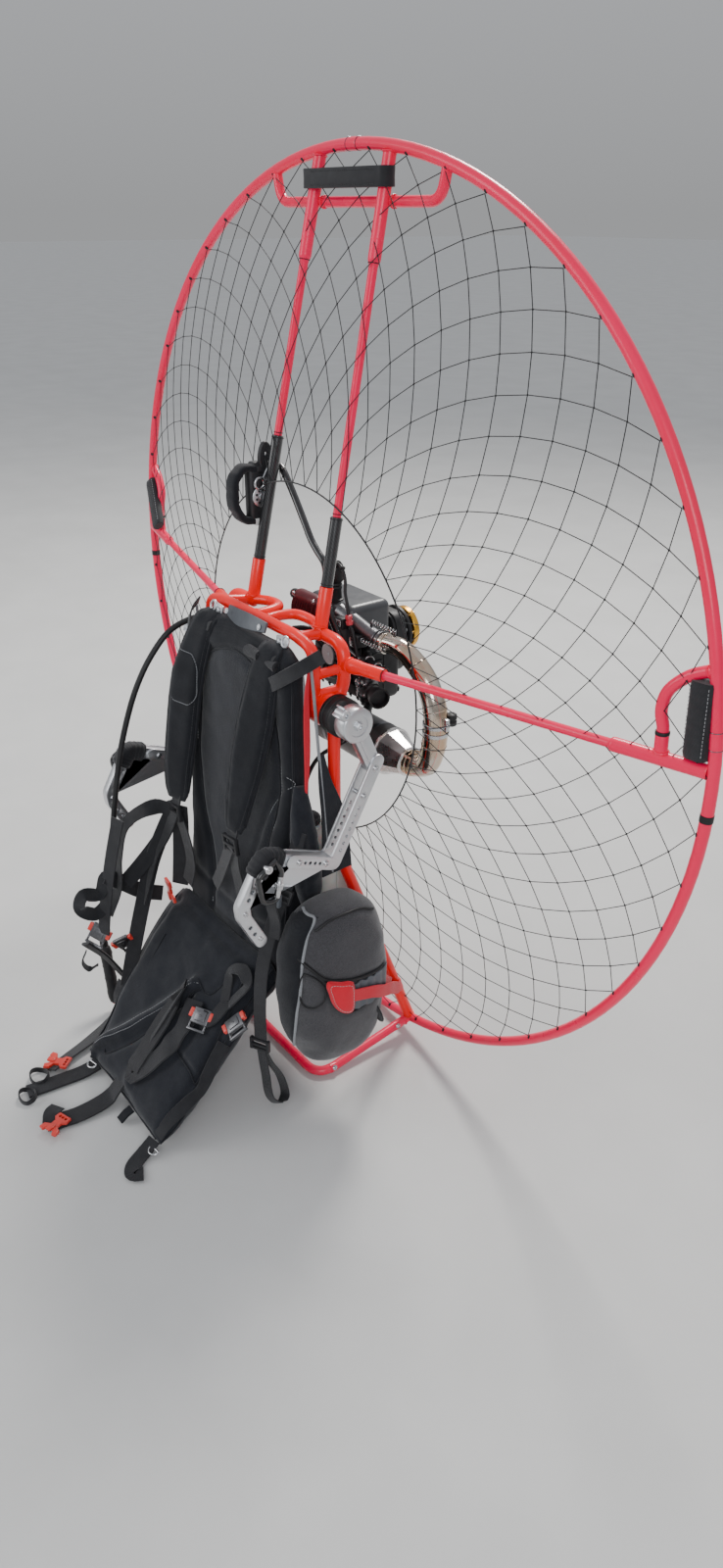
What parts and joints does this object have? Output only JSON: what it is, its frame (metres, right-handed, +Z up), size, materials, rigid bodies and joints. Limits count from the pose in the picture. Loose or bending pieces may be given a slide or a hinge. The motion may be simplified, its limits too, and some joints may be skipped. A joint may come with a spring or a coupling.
{
  "type": "paramotor",
  "caption": "Backpack paramotor standing on its foot: round tube cage, engine with exhaust, swing arms, harness seat, throttle and starter pull.",
  "frame": {"origin": "on the ground, under the middle of the object's box without the loose starter pull", "axes": "+Z up, +Y to the rear, where the propeller goes, and +X towards the pilot's left"},
  "size_m": [1.5762, 0.8303, 1.5776],
  "materials": {
    "hoop_paint": "gloss fluorescent red",
    "chassis_paint": "gloss red",
    "carbon": "gloss black sleeve",
    "alloy": "satin",
    "black_metal": "satin black",
    "black_plastic": "matte",
    "dark_cover": "satin dark red",
    "polished_pipe": "polished, heat tinted",
    "gold_alloy": "anodised gold",
    "tank_plastic": "translucent white",
    "fabric": "woven black",
    "melange": "dark grey melange",
    "red_webbing": "woven red",
    "rubber": "matte",
    "net_cord": "woven black cord"
  },
  "bodies": {
    "frame": {"hoop_upper_left": "hoop_paint", "hoop_upper_right": "hoop_paint", "hoop_lower_right": "hoop_paint", "hoop_lower_left": "hoop_paint", "spar_grip_left": "carbon", "spar_left": "hoop_paint", "spar_grip_right": "carbon", "spar_right": "hoop_paint", "top_handle": "hoop_paint", "top_band": "fabric", "lateral_arm_left": "hoop_paint", "side_handle_left": "hoop_paint", "lateral_arm_right": "hoop_paint", "side_handle_right": "hoop_paint", "side_wrap_left": "fabric", "side_wrap_right": "fabric", "front_arch": "chassis_paint", "side_frame_left": "chassis_paint", "side_frame_right": "chassis_paint", "foot": "hoop_paint", "rail_left": "chassis_paint", "rail_right": "chassis_paint", "net_upper_left": "net_cord", "net_upper_right": "net_cord", "net_lower_right": "net_cord", "net_lower_left": "net_cord", "pivot_drum_left": "black_metal", "pivot_drum_right": "black_metal", "engine_block": "black_metal", "cylinder_cover": "dark_cover", "plug_cap": "rubber", "airbox": "black_plastic", "starter_cover": "black_plastic", "carburettor": "black_metal", "reduction_case": "black_metal", "exhaust_pipe": "polished_pipe", "silencer": "black_metal", "fuel_tank": "tank_plastic", "back_pad": "fabric", "shoulder_strap_left": "fabric", "shoulder_strap_right": "fabric", "seat": "fabric", "leg_strap_left": "fabric", "leg_strap_right": "fabric", "reserve_container": "melange", "reserve_handle": "red_webbing", "throttle_grip": "black_plastic", "throttle_cable": "rubber", "starter_hose": "rubber", "starter_handle": "rubber"},
    "arm_left": {"arm_hub_left": "alloy", "arm_plates_left": "alloy", "arm_tip_left": "alloy", "arm_hook_left": "rubber"},
    "arm_right": {"arm_hub_right": "alloy", "arm_plates_right": "alloy", "arm_tip_right": "alloy", "arm_hook_right": "rubber"},
    "propeller_hub": {"prop_hub": "gold_alloy"}
  },
  "joints": [
    {"name": "arm_left_swing", "type": "hinge", "parent": "frame", "child": "arm_left", "pos_m": [0.24, 0.1029, 0.76], "axis": [-1, 0, 0], "range_deg": [0, 70]},
    {"name": "arm_right_swing", "type": "hinge", "parent": "frame", "child": "arm_right", "pos_m": [-0.24, 0.1029, 0.76], "axis": [-1, 0, 0], "range_deg": [0, 70]},
    {"name": "prop_spin", "type": "hinge", "parent": "frame", "child": "propeller_hub", "pos_m": [0, 0.39, 0.789], "axis": [0, 1, 0], "continuous": true}
  ]
}
